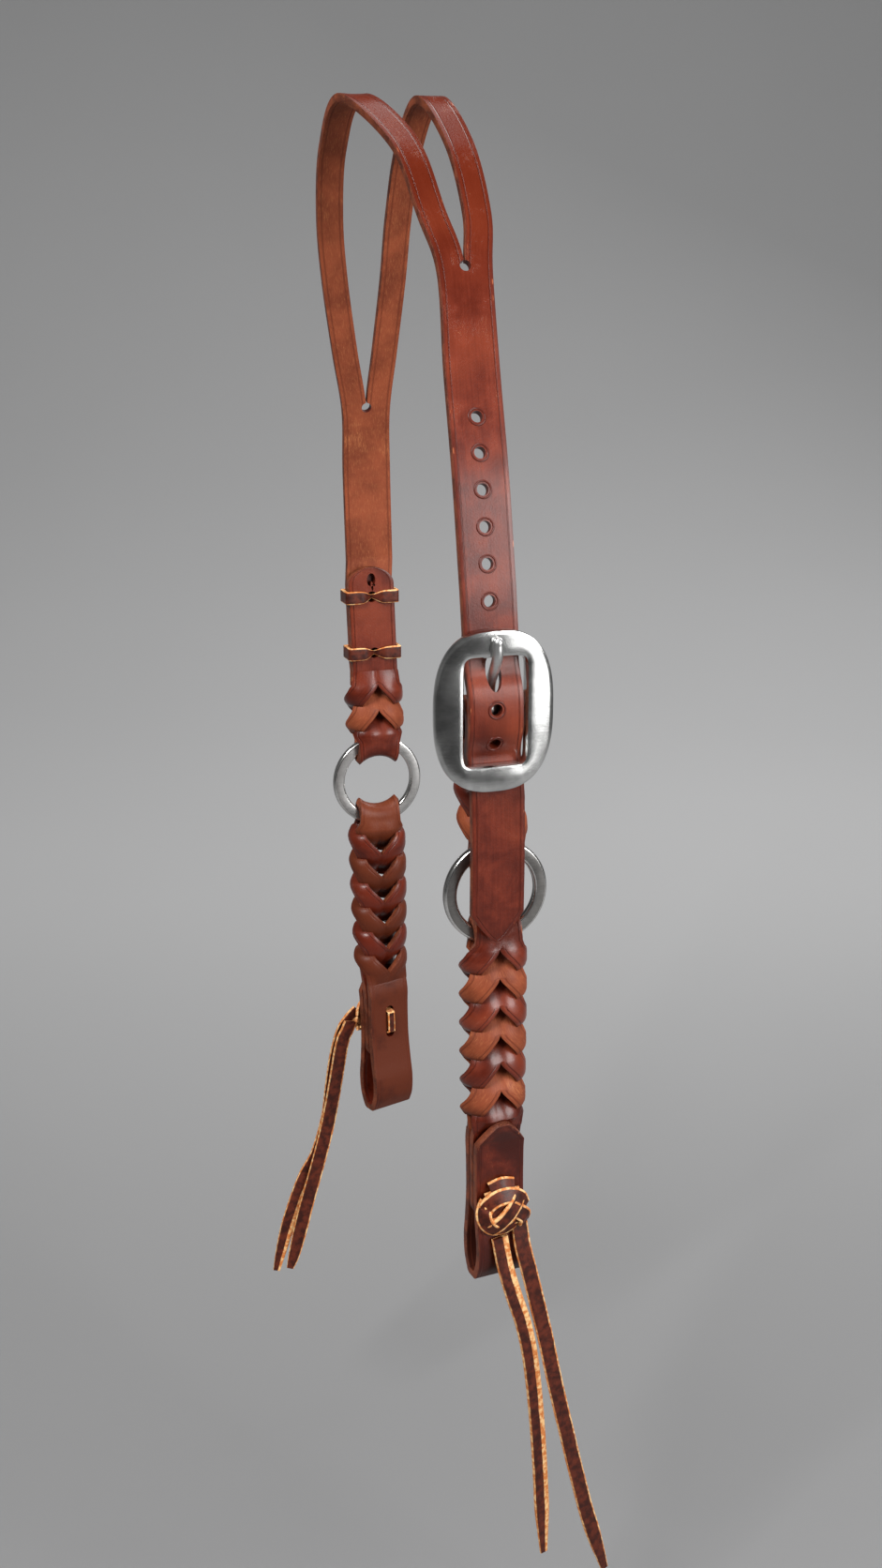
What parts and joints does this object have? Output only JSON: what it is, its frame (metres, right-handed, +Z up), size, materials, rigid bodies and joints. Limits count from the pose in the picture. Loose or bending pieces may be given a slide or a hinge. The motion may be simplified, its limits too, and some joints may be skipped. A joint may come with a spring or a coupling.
{
  "type": "western headstall",
  "caption": "Split ear western headstall in harness leather: slit crown, buckled near cheek, rings, braided slit chains and laced bit loops.",
  "frame": {"origin": "under the middle of the crown, where it rests on the horse's poll", "axes": "+Z up, the near side with the buckle at -Y, the far side at +Y, the horse faces -X"},
  "size_m": [0.1303, 0.2316, 0.743],
  "materials": {
    "harness_leather": "oiled, waxed grain",
    "lace_leather": "oiled",
    "polished_steel": "polished",
    "satin_steel": "satin"
  },
  "bodies": {
    "crown": {"crown_strap": "harness_leather", "upper_tie": "lace_leather", "lower_tie": "lace_leather", "buckle_frame": "polished_steel"},
    "tongue": {"buckle_tongue": "polished_steel"},
    "near_hanger": {"near_hanger_strap": "harness_leather"},
    "near_ring_body": {"near_ring": "satin_steel"},
    "near_cheek": {"near_cheek_strap": "harness_leather", "near_bit_lace": "lace_leather", "near_lace_tail_front": "lace_leather", "near_lace_tail_rear": "lace_leather"},
    "far_ring_body": {"far_ring": "satin_steel"},
    "far_cheek": {"far_cheek_strap": "harness_leather", "far_bit_lace": "lace_leather", "far_lace_tail_front": "lace_leather", "far_lace_tail_rear": "lace_leather"}
  },
  "joints": [
    {"name": "tongue_hinge", "type": "hinge", "parent": "crown", "child": "tongue", "pos_m": [-0.0069, -0.1041, -0.2594], "axis": [1, 0, 0], "range_deg": [0, 7]},
    {"name": "near_hanger_hinge", "type": "hinge", "parent": "crown", "child": "near_hanger", "pos_m": [-0.0069, -0.1041, -0.2594], "axis": [1, 0, 0], "range_deg": [0, 25]},
    {"name": "near_ring_hinge", "type": "hinge", "parent": "near_hanger", "child": "near_ring_body", "pos_m": [0, -0.0955, -0.3302], "axis": [1, 0, 0], "range_deg": [0, 10]},
    {"name": "near_cheek_hinge", "type": "hinge", "parent": "near_ring_body", "child": "near_cheek", "pos_m": [0, -0.0955, -0.3708], "axis": [1, 0, 0], "range_deg": [-8, 10]},
    {"name": "far_ring_hinge", "type": "hinge", "parent": "crown", "child": "far_ring_body", "pos_m": [-0.001, 0.0955, -0.3302], "axis": [1, 0, 0], "range_deg": [-10, 10]},
    {"name": "far_cheek_hinge", "type": "hinge", "parent": "far_ring_body", "child": "far_cheek", "pos_m": [-0.001, 0.0955, -0.3708], "axis": [1, 0, 0], "range_deg": [-10, 10]}
  ]
}
